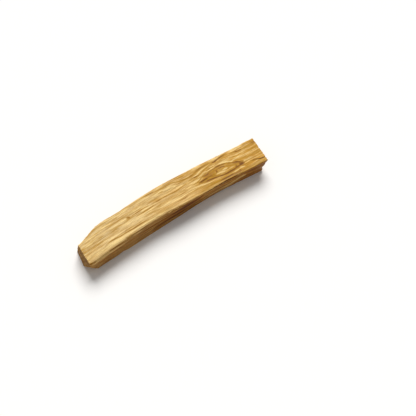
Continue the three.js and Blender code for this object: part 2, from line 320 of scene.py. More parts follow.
    ([(-28.6, 6.3), (-24.8, 6.4), (-21, 6.6), (-17.3, 6.7)], 0.8, -0.55),
    ([(-23.6, 4.1), (-19.4, 4), (-15.6, 4), (-12.2, 4.5)], 0.7, -0.6),
    ([(-14.7, 3.3), (-12.4, 3.1), (-10, 3.3)], 0.5, -0.5),
    ([(-9.5, 2.9), (-6.2, 3), (-3.3, 2.9), (-0.4, 2.8), (2.1, 2.8)], 0.5, 0.3),
    ([(-3.1, 4.2), (-0.2, 4.1), (2.7, 4.2), (5.6, 4.4), (8.1, 4.4)], 0.6, -0.5),
    ([(-10.9, -1.2), (-6.6, -1.3), (-2.8, -1.4), (2.1, -1.6), (8.4, -1.6)], 1.2, -0.5),
    ([(7.1, 0.2), (11.1, 0.1), (13.4, -0.1), (15.8, 0)], 0.5, -0.65),
    ([
        (-20.6, -4.8), (-16.4, -4.7), (-12.6, -4.6), (-9.8, -4.4),
        (-6.9, -4.2), (-3.1, -4.1), (1.3, -3.8),
    ], 0.7, -0.6),
    ([(6.6, -4.8), (10.5, -4.7), (14.4, -4.8)], 0.5, -0.5),
]
# On the front face the places are X and Z.
FRONT_LINES = [
    # Painted light: these four light lines brighten the front face just under the worn top arris, from the
    # narrow end to X 1, as a lit band.
    ([(-47.7, 8.4), (-45, 8.4), (-42.3, 8.4), (-39.5, 8.3), (-35.8, 7.9)], 1.2, -0.9),
    ([(-37.6, 8.1), (-33.9, 7.8), (-31.1, 7.5), (-28.3, 7.3), (-25.5, 7.6)], 0.8, -0.6),
    ([(-27.1, 8.7), (-22.8, 8.5), (-18.6, 8.2)], 0.8, -0.55),
    ([(-14.5, 7.2), (-11.2, 7), (-8.3, 7.1), (-5.6, 7.5), (-2.8, 8), (0.9, 8.7)], 0.7, -0.45),
    ([(-46.2, 3.6), (-44.3, 3.4), (-41.5, 3.3)], 0.8, -0.5),
    ([(-47.4, 6.2), (-44.7, 5.9), (-41.8, 5.4), (-39, 5), (-36.2, 4.8), (-33.4, 4.6), (-30, 4)], 0.6, 0.55),
    ([(-31.8, 3.2), (-27.5, 2.9), (-24.1, 2.6)], 0.5, 0.35),
    ([(-24.9, 1.8), (-19.7, 1.7), (-13.9, 1.3)], 0.4, 0.3),
    ([(-14.7, 3.1), (-10.2, 2.6), (-7.4, 2.8), (-4.6, 3.1), (1.3, 3), (7.3, 2.7), (10.9, 2.1)], 0.6, 1.3),
    ([(-12.4, 1.4), (-8, 1.2), (-3.2, 1.2), (2.8, 1.1), (8.7, 0.9)], 0.5, -0.45),
    ([(-3.4, 6.5), (0.4, 6.7), (3.3, 6.8), (6.1, 7), (9, 7.1), (11.9, 7.2), (15.3, 7.6)], 0.8, 1.1),
    ([(1.5, 6.2), (3.9, 6.3), (6.7, 6.7)], 0.5, 1),
    ([
        (10.8, 7.8), (14.6, 8.3), (17.4, 8.9), (23.3, 8.9),
        (29.2, 9.2), (32.2, 9.2), (35.4, 8.3), (39.1, 7.8),
    ], 0.42, 1),
    ([(38.3, 7.4), (41.9, 7.3), (46, 7.1)], 0.4, 0.7),
    # Painted light: this line, the next and the last of the list brighten the lower front face from X 10 to
    # 42, as light bounced up from below would.
    ([
        (10.2, 1.3), (13.4, 1.9), (16.1, 3), (19, 3.3),
        (22.2, 2.8), (26.2, 2.7), (31, 3.5), (38.8, 5.7),
    ], 1.1, -0.7),
    ([(20.7, 0.9), (26.6, 1.4), (33.3, 2.5), (38.1, 3.3)], 0.8, -0.4),
    ([(-16, 6.8), (-6.4, 6.5), (0.3, 6.5), (7.3, 5.8), (15.2, 5.9)], 2, 0.6),
    ([(24.6, 8.8), (26.3, 8.7), (27.8, 9.4)], 0.4, 0.7),
    ([(37.5, 6.3), (43.2, 5.9), (49.2, 6.5)], 1.8, 0.5),
    ([(2.4, 8.4), (5.7, 8.5), (9.7, 8.3)], 0.6, 0.7),
    ([(31, 3.6), (34.9, 5.2), (38.8, 5.8), (42.2, 6.2)], 1, -0.7),
]
# On the back face, too, the places are X and Z.
BACK_LINES = [
    ([(-46, 6.7), (-30, 7.1), (-12, 7.6), (6, 7.4)], 0.28, 0.9),
    ([(-22, 5.2), (-8, 5.4), (6, 5.9), (24, 5.6)], 0.36, 0.75),
    ([(9, 8.3), (24, 8.1), (41, 8.4)], 0.26, 0.85),
    ([(-41, 3.2), (-26, 2.7), (-9, 2.9)], 0.42, 0.75),
    ([(0, 2.2), (14, 1.8), (30, 2.2), (46, 2)], 0.34, 0.85),
    ([(-36, 5), (-24, 5.1), (-12, 4.2)], 0.5, -0.7),
    ([(11, 4.2), (26, 4), (39, 4.4)], 0.55, -0.7),
    ([(29, 6.5), (42, 6.2), (52, 6.4)], 0.38, 0.9),
    ([(36, 3.6), (44, 3.7), (52, 3.5)], 0.3, 0.8),
]

# How a line is drawn: the share of its width and of its strength that its ends keep, how sharply it falls
# off to its sides, and how squarely a place must face a side to show that side's lines.
LINE_END_WIDTH = 0.4
LINE_END_STRENGTH = 0.15
LINE_FALL = 2.1
LINE_FACING = (0.4, 0.7)

# The noise of the fine relief: the sizes of its features in millimetres, and its seed.
RELIEF_NOISE = {
    "bundles": ((17, 0.8, 4), 3),
    "fibres": ((8, 0.55, 0.55), 11),
    "saw": ((3, 0.5, 0.5), 7),
    "knocks": ((2.6, 1.3, 1.3), 23),
    "crumbs": ((1.6, 1.1, 1.1), 31),
}

# Fibres: the share of single ones beside bundles, and the share of relief that the top and underside keep.
FIBRE_SHARE = 0.6
TOP_CALM = 0.6
UNDER_CALM = 0.5

# The eye's relief: half the width of the groove round it, the width of its shoulder, and the share of the
# relief that its middle rises by.
EYE_GROOVE = 0.4
EYE_SHOULDER = 1.6
EYE_CROWN = 0.9

# The saw's marks: how they slant, and how far apart they lie in the relief and in the colour.
SAW_SLANT = 0.18
SAW_SPACING = 0.9
SAW_MARK_SPACING = 0.7

# Knocks along the arrises and crumbs along the rims: where in their noise they start, their depth and reach.
KNOCK_START, KNOCK_DEPTH, ARRIS_REACH = 0.25, 0.4, 1.1
CRUMB_START, CRUMB_DEPTH, RIM_REACH = -0.1, 0.32, 0.45

# How squarely a place must face up or down to count as top or underside, or along to count as an end.
FLAT_FACING = (0.6, 0.9)
END_FACING = (0.6, 0.85)

# Where raised fibres die out along the stick from its middle, and where they begin above the floor.
FIBRE_ENDS = (48.5, 46)
FIBRE_FOOT = (1, 2)


# The form, worked out for whole arrays of places at once.

def mix(a, b, share):
    return a + (b - a) * share


def smooth(value, low, high):
    share = np.clip((value - low) / (high - low), 0, 1)
    return share * share * (3 - 2 * share)


def scatter(i, j, seed):
    """A fixed pseudo-random number from 0 to 1 for each place of a lattice."""
    wave = np.sin(i * SCATTER[0] + j * SCATTER[1] + seed * SCATTER[2]) * SCATTER_GAIN
    return wave - np.floor(wave)


def ripple(u, v, seed):
    """Smooth noise from -0.5 to 0.5 over the lattice."""
    i, j = np.floor(u), np.floor(v)
    a, b = smooth(u - i, 0, 1), smooth(v - j, 0, 1)
    near = mix(scatter(i, j, seed), scatter(i + 1, j, seed), a)
    far = mix(scatter(i, j + 1, seed), scatter(i + 1, j + 1, seed), a)
    return mix(near, far, b) - 0.5


def spline(stations, s):
    """Catmull-Rom through even stations, as rows of (y, z)."""
    points = np.array(stations, float)
    last = len(points) - 1
    at = np.clip(s, 0, 1) * last
    i = np.minimum(np.floor(at).astype(int), last)
    t = (at - i)[:, None]
    p0, p1 = points[np.maximum(i - 1, 0)], points[i]
    p2, p3 = points[np.minimum(i + 1, last)], points[np.minimum(i + 2, last)]
    v0, v1 = (p2 - p0) / 2, (p3 - p1) / 2
    return (2 * p1 - 2 * p2 + v0 + v1) * t**3 + (3 * p2 - 3 * p1 - 2 * v0 - v1) * t**2 + v0 * t + p1


def corners_at(s):
    """The four arrises at s: name to rows of (y, z) in millimetres."""
    return {name: spline(stations, s) * (WIDTH, THICKNESS) for name, stations in ARRISES.items()}


def between(corner, p, q):
    front = mix(corner["under_front"], corner["top_front"], q)
    back = mix(corner["under_back"], corner["top_back"], q)
    return mix(front, back, p)


def fluted(face, x, v):
    total = sum(
        share * ripple(x / length, v / width, SEEDS[face] + ORDER_SEED * order)
        for order, (length, width, share) in enumerate(FLUTES)
    )
    return FLUTE_DEPTH[face] * total


def torn_back(face, s, q):
    depth = np.zeros_like(s)
    for on_face, start, end, height, rise, deep in TORN:
        if on_face != face:
            continue
        line = height + rise * np.sin((s - start) * TORN_SWAY)
        below = smooth(line - q, 0, TORN_EDGE)
        begun = smooth(s, start, start + TORN_END)
        ended = smooth(s, end - TORN_END, end)
        depth = np.maximum(depth, deep * below * begun * (1 - ended))
    return depth


def worn(from_side, from_top, radius):
    """A worn arris: the square of wood within the radius of it is squeezed into a quarter of a round."""
    a, b = radius - from_side, radius - from_top
    inside = (a > 0) & (b > 0)
    squeeze = np.where(inside, np.maximum(a, b) / np.maximum(np.hypot(a, b), 1e-9), 1)
    across = np.where(inside, radius - a * squeeze, from_side)
    up = np.where(inside, radius - b * squeeze, from_top)
    return across, up


def wear_at(s, p, q):
    """The wear of the arris that each place is nearest to."""
    radius = np.zeros_like(s)
    for name, (narrow, wide) in WEAR.items():
        here = ((q > 0.5) == name.startswith("top")) & ((p > 0.5) == name.endswith("back"))
        radius = np.where(here, mix(narrow, wide, s), radius)
    return radius


def placed(s, p, q):
    """The place on the stick of places on the unit box, as rows of (x, y, z) in millimetres."""
    corner = corners_at(s)
    corner_y = {name: at[:, 0] for name, at in corner.items()}
    width = between(corner_y, 1, q) - between(corner_y, 0, q)
    height = mix(corner["top_front"][:, 1], corner["top_back"][:, 1], p)
    from_side = np.minimum(p, 1 - p) * width
    from_top = np.minimum(q, 1 - q) * height
    across, up = worn(from_side, from_top, wear_at(s, p, q))
    p_worn = np.where(p > 0.5, 1 - across / width, across / width)
    q_worn = np.where(q > 0.5, 1 - up / height, up / height)
    x = mix(between(NARROW_END, p_worn, q_worn), between(WIDE_END, p_worn, q_worn), s)
    y = between(corner_y, p_worn, q_worn)
    z = height * q_worn
    return relieved(x, y, z, s, p, q, width, height)


def relieved(x, y, z, s, p, q, width, height):
    """Relief of the riven faces and of the two saw cuts. The sawn underside stays flat."""
    off_floor = smooth(q, 0, FACE_REACH)
    front = (1 - smooth(p, 0, FACE_REACH)) * off_floor
    back = smooth(p, 1 - FACE_REACH, 1) * off_floor
    top = smooth(q, 1 - FACE_REACH, 1)
    snapped = 1 - smooth(q, SNAPPED_HEIGHT * SNAPPED_FULL, SNAPPED_HEIGHT)
    lip = SNAPPED_DEPTH * snapped * smooth(p, *SNAPPED_ACROSS)
    chip = CHIP_DEPTH * smooth(q, *CHIP_BELOW) * (1 - smooth(q, *CHIP_ABOVE)) * (1 - smooth(p, *CHIP_ACROSS))
    rough = CUT_ROUGHNESS * ripple(y / CUT_CELL, z / CUT_CELL, SEEDS["cut"])
    new_x = x + np.where(s == 0, rough, 0) + np.where(s == 1, rough + lip, 0) - smooth(s, *CHIP_ALONG) * chip
    new_y = y - front * (fluted("front", x, q * height) - torn_back("front", s, q))
    new_y = new_y + back * (fluted("back", x, q * height) - torn_back("back", s, q))
    new_z = z + top * fluted("top", x, p * width)
    return np.stack([new_x, new_y, new_z], 1)


def break_corner(place):
    """Wood beyond the break is pressed back onto it."""
    a, b, c = (np.array(at, float) for at in BROKEN_CORNER)
    normal = np.cross(b - a, c - a)
    normal /= np.linalg.norm(normal)
    if a @ normal < 0:
        normal = -normal
    rough = BREAK_ROUGHNESS * ripple(place[:, 1] / BREAK_CELL, place[:, 2] / BREAK_CELL, SEEDS["break"])
    beyond = np.maximum((place - a) @ normal - rough, 0)
    return place - beyond[:, None] * normal


def bite(place, arris, along, depth, radius, stretch):
    """Wood inside a bite is pressed out of it."""
    y, z = corners_at(np.array([along]))[arris][0]
    outward = (radius - depth) * math.sqrt(0.5)
    centre = np.array([
        mix(NARROW_END[arris], WIDE_END[arris], along),
        y + (outward if arris.endswith("back") else -outward),
        z + (outward if arris.startswith("top") else -outward),
    ])
    away = place - centre
    distance = np.sqrt((away[:, 0] / stretch) ** 2 + away[:, 1] ** 2 + away[:, 2] ** 2)
    swell = np.where(distance < radius, radius / np.maximum(distance, 1e-9), 1)
    pressed = place.copy()
    pressed[:, 1:] = centre[1:] + away[:, 1:] * swell[:, None]
    return pressed


# The fine mesh.

def crowd(share, closeness):
    return mix(share, 0.5 - 0.5 * np.cos(math.pi * share), closeness)


def lattice(along, across, upward):
    """Shares (s, p, q) of every place on a closed box, and the faces between them."""
    s = crowd(np.linspace(0, 1, along + 1), END_CLOSENESS)
    p = crowd(np.linspace(0, 1, across + 1), ARRIS_CLOSENESS)
    q = crowd(np.linspace(0, 1, upward + 1), ARRIS_CLOSENESS)
    rim = [(0, j) for j in range(upward)] + [(i, upward) for i in range(across)]
    rim += [(across, j) for j in range(upward, 0, -1)] + [(i, 0) for i in range(across, 0, -1)]
    count = len(rim)
    places = [(share, p[i], q[j]) for share in s for i, j in rim]
    faces = []
    for station in range(along):
        here, there = station * count, (station + 1) * count
        for k in range(count):
            after = (k + 1) % count
            faces.append((here + k, there + k, there + after, here + after))
    for station, turned in ((0, True), (along, False)):
        number = {place: station * count + k for k, place in enumerate(rim)}
        for i in range(1, across):
            for j in range(1, upward):
                number[(i, j)] = len(places)
                places.append((s[station], p[i], q[j]))
        for i in range(across):
            for j in range(upward):
                face = (number[(i, j)], number[(i + 1, j)], number[(i + 1, j + 1)], number[(i, j + 1)])
                faces.append(face[::-1] if turned else face)
    return np.array(places, float), faces


def solid_noise(at, name):
    """Noise from -1 to 1 in the wood itself, one of those in RELIEF_NOISE."""
    sizes, seed = RELIEF_NOISE[name]
    scaled = at / np.array(sizes, float) + seed
    return np.array([noise.noise(Vector(place)) for place in scaled])


def share_along(x):
    return np.clip((x - NARROW_END["top_front"]) / (WIDE_END["top_front"] - NARROW_END["top_front"]), 0, 1)


def grain_of(place):
    """Places in the wood with the bow of its grain taken out."""
    s = share_along(place[:, 0])
    corner = corners_at(s)
    middle = sum(at[:, 0] for at in corner.values()) / len(corner)
    straight = place.copy()
    straight[:, 1] -= GRAIN_BOW * middle
    return straight


def off_path(place, path):
    """Distance in X and Y from each place to a path, and the share of its length where it is nearest."""
    points = np.array(path, float)
    lengths = np.linalg.norm(np.diff(points, axis=0), axis=1)
    begins = np.concatenate(([0], np.cumsum(lengths)))
    nearest = np.full(len(place), np.inf)
    share = np.zeros(len(place))
    for a, b, length, begin in zip(points, points[1:], lengths, begins):
        along = np.clip((place[:, :2] - a) @ (b - a) / length**2, 0, 1)
        distance = np.linalg.norm(place[:, :2] - a - along[:, None] * (b - a), axis=1)
        share = np.where(distance < nearest, (begin + along * length) / begins[-1], share)
        nearest = np.minimum(nearest, distance)
    return nearest, share


def eye_of(place, grain):
    """How deep inside the eye's outline each place is, and where its layer lies across the grain.

    Outside the eye the layers are pushed apart by it, and inside they run round in rings.
    """
    x, y, z = place.T
    back_x, back_y = np.array(EYE_BACK).T
    front_x, front_y = np.array(EYE_FRONT).T
    near, far = back_x[0], back_x[-1]
    t = np.clip((x - near) / (far - near), 0, 1)
    axis = mix(back_y[0], back_y[-1], t)
    over = np.interp(x, back_x, back_y, left=back_y[0], right=back_y[-1])
    under = np.interp(x, front_x, front_y, left=front_y[0], right=front_y[-1])
    inside = (x > near) & (x < far) & (y < over) & (y > under)
    distance = np.minimum(off_path(place, EYE_BACK)[0], off_path(place, EYE_FRONT)[0])
    dying = np.exp(-np.maximum(THICKNESS - z, 0) / EYE_DEPTH)
    # The swelling fades out beyond both tips, or the layers would step there.
    beyond = np.maximum(near - x, 0) + np.maximum(x - far, 0)
    behind = y > axis
    opening = np.where(behind, over - axis, axis - under) * np.exp(-beyond / EYE_REACH)
    off = np.maximum(np.where(behind, y - over, under - y), 0)
    pushed = opening * np.exp(-off / EYE_REACH) * dying
    layer = grain[:, 1] - np.where(behind, pushed, -pushed)
    layer = np.where(inside, grain[:, 1] - (y - axis) * dying - distance * EYE_RINGS * dying, layer)
    return np.where(inside, distance, -distance), layer


def lines_of(place, facing):
    """How dark each place is from the lines of its face; below 0 where they are light."""
    total = np.zeros(len(place))
    faces = (
        (TOP_LINES, place[:, (0, 1)], facing[:, 2]),
        (FRONT_LINES, place[:, (0, 2)], -facing[:, 1]),
        (BACK_LINES, place[:, (0, 2)], facing[:, 1]),
    )
    for lines, flat, squarely in faces:
        on_face = smooth(squarely, *LINE_FACING)
        near = on_face > 0
        for path, half_width, strength in lines:
            distance, share = off_path(flat[near], path)
            taper = np.sqrt(np.maximum(np.sin(math.pi * share), 0))
            wide = half_width * mix(LINE_END_WIDTH, 1, taper)
            fall = np.exp(-((distance / wide) ** LINE_FALL))
            total[near] += on_face[near] * strength * fall * mix(LINE_END_STRENGTH, 1, taper)
    return total


def layers_of(grain, layer):
    """The growth layer that each place lies in, in millimetres out from one layer."""
    across = layer + PITH_AWAY * math.cos(LAYER_LEAN)
    up = grain[:, 2] - THICKNESS + PITH_AWAY * math.sin(LAYER_LEAN)
    return np.hypot(across, up) - PITH_AWAY


def arris_of(place):
    """How near each place is to a long arris: 1 on it, falling to 0 in a millimetre or two."""
    s = share_along(place[:, 0])
    nearest = np.full(len(place), np.inf)
    for at in corners_at(s).values():
        nearest = np.minimum(nearest, np.hypot(place[:, 1] - at[:, 0], place[:, 2] - at[:, 1]))
    return np.exp(-((nearest / ARRIS_REACH) ** 2))


def store(mesh, name, values):
    kind = "FLOAT" if values.ndim == 1 else "FLOAT_VECTOR"
    attribute = mesh.attributes.new(name, kind, "POINT")
    attribute.data.foreach_set("value" if kind == "FLOAT" else "vector", values.astype(np.float32).ravel())


def of_vertices(mesh, name):
    """The "co" or "normal" of a mesh's vertices, as rows."""
    flat = np.zeros(len(mesh.vertices) * 3, np.float32)
    mesh.vertices.foreach_get(name, flat)
    return flat.reshape(-1, 3).astype(float)


def move_vertices(mesh, place):
    mesh.vertices.foreach_set("co", place.astype(np.float32).ravel())
    mesh.update()


def from_rim(shares, place):
    """Distance in millimetres from each place of the box to the rim of the nearer saw cut."""
    s, p, q = shares.T
    length = np.ptp(place[:, 0])
    on_cut = (s == 0) | (s == 1)
    to_cut = np.minimum(s, 1 - s) * length
    to_side = np.minimum(np.minimum(p, 1 - p) * WIDTH, np.minimum(q, 1 - q) * THICKNESS)
    return np.where(on_cut, to_side, to_cut)


def fine_relief(place, facing, rim, sizes):
    """How far fibres stand out of the surface, and what has chipped off its edges, in millimetres."""
    grain = grain_of(place)
    eye, layer = eye_of(place, grain)
    ring = layers_of(grain, layer)
    bundles = solid_noise(np.stack([place[:, 0], ring, place[:, 2]], 1), "bundles")
    fibres = solid_noise(grain, "fibres")
    on_top = smooth(facing[:, 2], *FLAT_FACING)
    riven = sizes.fibre_relief / MM * mix(1, TOP_CALM, on_top) * (bundles + FIBRE_SHARE * fibres)
    groove = -np.exp(-((eye / EYE_GROOVE) ** 2))
    swelling = smooth(eye, 0, EYE_SHOULDER) * EYE_CROWN
    riven += sizes.eye_relief / MM * on_top * (groove + swelling)
    under = smooth(-facing[:, 2], *FLAT_FACING)
    riven = mix(riven, -np.abs(riven) * UNDER_CALM, under)

    end = smooth(np.abs(facing[:, 0]), *END_FACING)
    saw_line = place[:, 2] + SAW_SLANT * place[:, 1]
    saw_wave = np.sin(saw_line * 2 * math.pi / SAW_SPACING)
    saw = sizes.saw_relief / MM * (saw_wave + solid_noise(grain, "saw"))

    knocks = KNOCK_DEPTH * np.maximum(solid_noise(grain, "knocks") - KNOCK_START, 0)
    crumbs = CRUMB_DEPTH * np.maximum(solid_noise(grain, "crumbs") - CRUMB_START, 0)
    chips = knocks * arris_of(place) + crumbs * np.exp(-((rim / RIM_REACH) ** 2))
    return riven * (1 - end) + saw * end - chips


def blade(path, width, low, high):
    """The air in a crack: a wedge from its tip to its mouth that narrows and leans towards its foot."""
    points = np.array(path, float)
    offsets = np.linspace(0, width / 2, len(points))
    bm = bmesh.new()
    rings = []
    for z, share, lean in ((low, CRACK_FOOT_SHARE, CRACK_FOOT_LEAN), (high, 1, 0)):
        left = [(x, y + lean - off * share, z) for (x, y), off in zip(points, offsets)]
        right = [(x, y + lean + off * share, z) for (x, y), off in zip(points, offsets)][:0:-1]
        rings.append([bm.verts.new(corner) for corner in left + right])
    count = len(rings[0])
    for k in range(count):
        after = (k + 1) % count
        bm.faces.new((rings[0][k], rings[0][after], rings[1][after], rings[1][k]))
    bm.faces.new(rings[0][::-1])
    bm.faces.new(rings[1])
    bmesh.ops.recalc_face_normals(bm, faces=bm.faces)
    mesh = bpy.data.meshes.new("crack_air")
    bm.to_mesh(mesh)
    bm.free()
    return mesh


def new_object(name, data):
    made = bpy.data.objects.new(name, data)
    bpy.context.scene.collection.objects.link(made)
    return made


def baked(piece):
    """The piece's mesh with its modifiers applied."""
    bpy.context.view_layer.update()
    graph = bpy.context.evaluated_depsgraph_get()
    mesh = bpy.data.meshes.new_from_object(piece.evaluated_get(graph))
    piece.modifiers.clear()
    piece.data = mesh
    return mesh


def carve_form(sizes):
    """The stick's fine mesh in millimetres, before any crack."""
    shares, faces = lattice(ALONG, ACROSS, UPWARD)
    place = break_corner(placed(*shares.T))
    for values in BITES:
        place = bite(place, *values)
    place[:, 2] = np.maximum(place[:, 2], 0)
    mesh = bpy.data.meshes.new("stick_wood")
    mesh.from_pydata(place.tolist(), [], faces)
    bm = bmesh.new()
    bm.from_mesh(mesh)
    bmesh.ops.recalc_face_normals(bm, faces=bm.faces)
    bm.to_mesh(mesh)
    bm.free()
    facing = of_vertices(mesh, "normal")
    rim = from_rim(shares, place)
    place = place + facing * fine_relief(place, facing, rim, sizes)[:, None]
    place[:, 2] = np.maximum(place[:, 2], 0)
    move_vertices(mesh, place)
    return mesh


# Shorthand for node trees.

class Board:
    """A node tree, and short ways to put the nodes of this file into it."""

    def __init__(self, tree):
        self.tree = tree

    def put(self, kind, inputs=None, **settings):
        node = self.tree.nodes.new(kind)
        for name, value in settings.items():
            setattr(node, name, value)
        for key, value in (inputs or {}).items():
            self.feed(node.inputs[key], value)
        return node

    def feed(self, socket, value):
        if isinstance(value, bpy.types.NodeSocket):
            self.tree.links.new(value, socket)
        else:
            socket.default_value = value

    def math(self, operation, *values):
        return self.put("ShaderNodeMath", dict(enumerate(values)), operation=operation).outputs[0]

    def times(self, a, b):
        return self.math("MULTIPLY", a, b)

    def plus(self, a, b):
        return self.math("ADD", a, b)

    def minus(self, a, b):
        return self.math("SUBTRACT", a, b)

    def step(self, value, low, high):
        """0 below low, 1 above high and smooth between them; falling where low is above high."""
        inputs = {"Value": value, "From Min": low, "From Max": high}
        if low > high:
            inputs.update({"From Min": high, "From Max": low, "To Min": 1.0, "To Max": 0.0})
        return self.put("ShaderNodeMapRange", inputs, interpolation_type="SMOOTHSTEP").outputs["Result"]

    def blend(self, share, a, b, blend_type="MIX"):
        inputs = {0: share, 6: a, 7: b}
        return self.put("ShaderNodeMix", inputs, data_type="RGBA", blend_type=blend_type).outputs[2]

    def vector(self, x, y, z):
        return self.put("ShaderNodeCombineXYZ", {0: x, 1: y, 2: z}).outputs[0]

    def split(self, vector):
        return self.put("ShaderNodeSeparateXYZ", {0: vector}).outputs

    def shrunk(self, vector, sizes):
        """A vector in units of the given sizes."""
        return self.put("ShaderNodeVectorMath", {0: vector, 1: sizes}, operation="DIVIDE").outputs[0]

    def noise(self, vector, detail=2.0, roughness=0.5):
        inputs = {"Vector": vector, "Scale": 1.0, "Detail": detail, "Roughness": roughness}
        return self.put("ShaderNodeTexNoise", inputs).outputs["Fac"]

    def attribute(self, name, output="Fac"):
        return self.put("ShaderNodeAttribute", attribute_name=name).outputs[output]

    def group(self, tree, inputs):
        node = self.put("ShaderNodeGroup", node_tree=tree)
        for key, value in inputs.items():
            self.feed(node.inputs[key], value)
        return node.outputs


VALUE, VECTOR = "NodeSocketFloat", "NodeSocketVector"


def new_group(name, inputs, outputs):
    """An empty shader node group: its tree, what it is given and a way to hand out its results."""
    tree = bpy.data.node_groups.new(name, "ShaderNodeTree")
    for label, kind in inputs.items():
        tree.interface.new_socket(label, in_out="INPUT", socket_type=kind)
    for label in outputs:
        tree.interface.new_socket(label, in_out="OUTPUT", socket_type=VALUE)
    board = Board(tree)
    given = board.put("NodeGroupInput").outputs
    results = board.put("NodeGroupOutput").inputs
    return board, given, results


# Noise along the growth layers: length along the grain, thickness, depth, seed, detail and roughness.
LAYER_NOISE = {
    "Wander": (26.0, 2.4, 9.0, 3.0, 2.0, 0.5),
    "Strand": (12.0, 0.85, 3.5, 0.0, 4.0, 0.66),
    "Sinew": (9.0, 0.36, 2.0, 5.0, 2.0, 0.6),
    "Resin": (14.0, 0.75, 5.0, 9.0, 4.0, 0.6),
}
# Noise along the grain: its sizes, detail and roughness.
GRAIN_NOISE = {
    "Pore": ((2.2, 0.24, 0.24), 1.0, 0.5),
    "Fibre": ((4.5, 0.17, 0.17), 3.0, 0.6),
    "Cloud": ((30.0, 4.0, 4.0), 2.0, 0.5),
    "Ragged": ((9.0, 1.6, 0.8), 4.0, 0.7),
    "Smear": ((9.0, 2.6, 1.1), 3.0, 0.6),
}
RESIN_SPAN = (0.56, 0.68)
PORE_SPAN = (0.66, 0.76)

# Growth rings: their spacing and how far they wander, where in each its late wood comes and goes, and the
# noise that lets them show in stretches: the length of one, the step from ring to ring, and its span.
RING_SPACING = 1.1
RING_WANDER = 3.0
RING_LATE = (0.3, 0.85)
RING_EDGE = (1.0, 0.9)
RING_STRETCH = 21.0
RING_STEP = 7.31
RING_SHOWN = (0.4, 0.6)

# The saw's marks in the colour, and the open pores of the ends.
MARK_WANDER = 1.4
MARK_SPAN = (-0.7, 0.9)
END_PORE_SIZES = (60.0, 0.42, 0.42)
END_PORE_SPAN = (0.24, 0.1)

# How ragged the sinews and the fibres make the edges of the figure and of the front face, and the span of a
# line's strength over which they do so.
SINEW_RAGGED = 0.9
FIBRE_RAGGED = 0.7
FRONT_RAGGED = 0.5
RAGGED_SPAN = (0.05, 0.5)

# The strengths at which light lines begin to show and show in full, and the middle of a noise's values.
LIGHT_SPAN = (0.15, 0.7)
NOISE_MIDDLE = 0.5

# Stains laid over the wood in this order: mask, the span over which it comes (None where the mask is used
# as it is), strength and colour.
WOOD_STAINS = (
    ("Cloud", (0.38, 0.62), 0.35, "ochre"),
    ("Strand", (0.5, 0.64), 0.7, "pale"),
    ("Strand", (0.48, 0.36), 0.7, "ochre"),
    ("Sinew", (0.46, 0.34), 0.5, "ochre"),
    ("Sinew", (0.54, 0.66), 0.5, "pale"),
    ("Ring", None, 0.62, "ochre"),
    ("Resin", None, 0.6, "brown"),
    ("eye", (0.0, 0.5), 0.4, "ochre"),
    ("light", LIGHT_SPAN, 0.8, "pale"),
    ("dark", (0.12, 0.5), 0.75, "ochre"),
    ("dark", (0.4, 0.85), 0.75, "brown"),
    ("dark", (0.8, 1.3), 0.8, "umber"),
    ("Pore", None, 0.5, "brown"),
)
FRONT_STAINS = (("Ring", None, 0.5, "umber"), ("Sinew", (0.48, 0.36), 0.4, "umber"))
RUBBED_STAINS = (("rubbed", None, 0.5, "pale"),)
END_STAINS = (("Ring", None, 0.6, "umber"), ("Pores", None, 0.5, "umber"), ("Marks", None, 0.1, "pale"))

# Spans of other masks: from tan to golden along X, the ends, the sides, fibres, rubbed strands and smears.
GOLDEN_SPAN = (-34.0, 42.0)
END_SPAN = (0.6, 0.8)
SIDE_SPAN = (0.45, 0.75)
FIBRE_SPAN = (0.3, 0.7)
RUBBED_SPAN = (0.4, 0.62)
SMEAR_SPAN = (0.3, 0.7)

# A plain value and what each mask adds to it, for the front face's painted shade, the fibres' tone, the
# roughness and the bump.
FRONT_SHADE, FRONT_SHADE_CHANGES = 1.0, {"lightness": -0.4}
TONE, TONE_CHANGES = 0.79, {"fibre": 0.32}
ROUGHNESS, ROUGHNESS_CHANGES = 0.42, {"fibre": 0.2, "Resin": -0.08, "end": 0.22}
HEIGHT_CHANGES = {"Sinew": 1.2, "Pore": -0.5, "sawn": 0.9}
MARK_HEIGHT = 0.5
BUMP_DEPTH = 0.12
BUMP_STRENGTH = 0.8
SPECULAR = 0.13

# Raised fibres: the sizes of their spots in millimetres, the detail, roughness and span of the spots' noise,
# how rough the fibres are and what the spots add to that.
SPOT_SIZES = (3, 0.8, 0.8)
SPOT_NOISE = (2.0, 0.6)
SPOT_SPAN = (0.35, 0.65)
SPLINTER_ROUGHNESS, SPOT_ROUGHNESS = 0.5, 0.3


def along_grain(board, grain, name):
    sizes, detail, roughness = GRAIN_NOISE[name]
    return board.noise(board.shrunk(grain, sizes), detail, roughness)


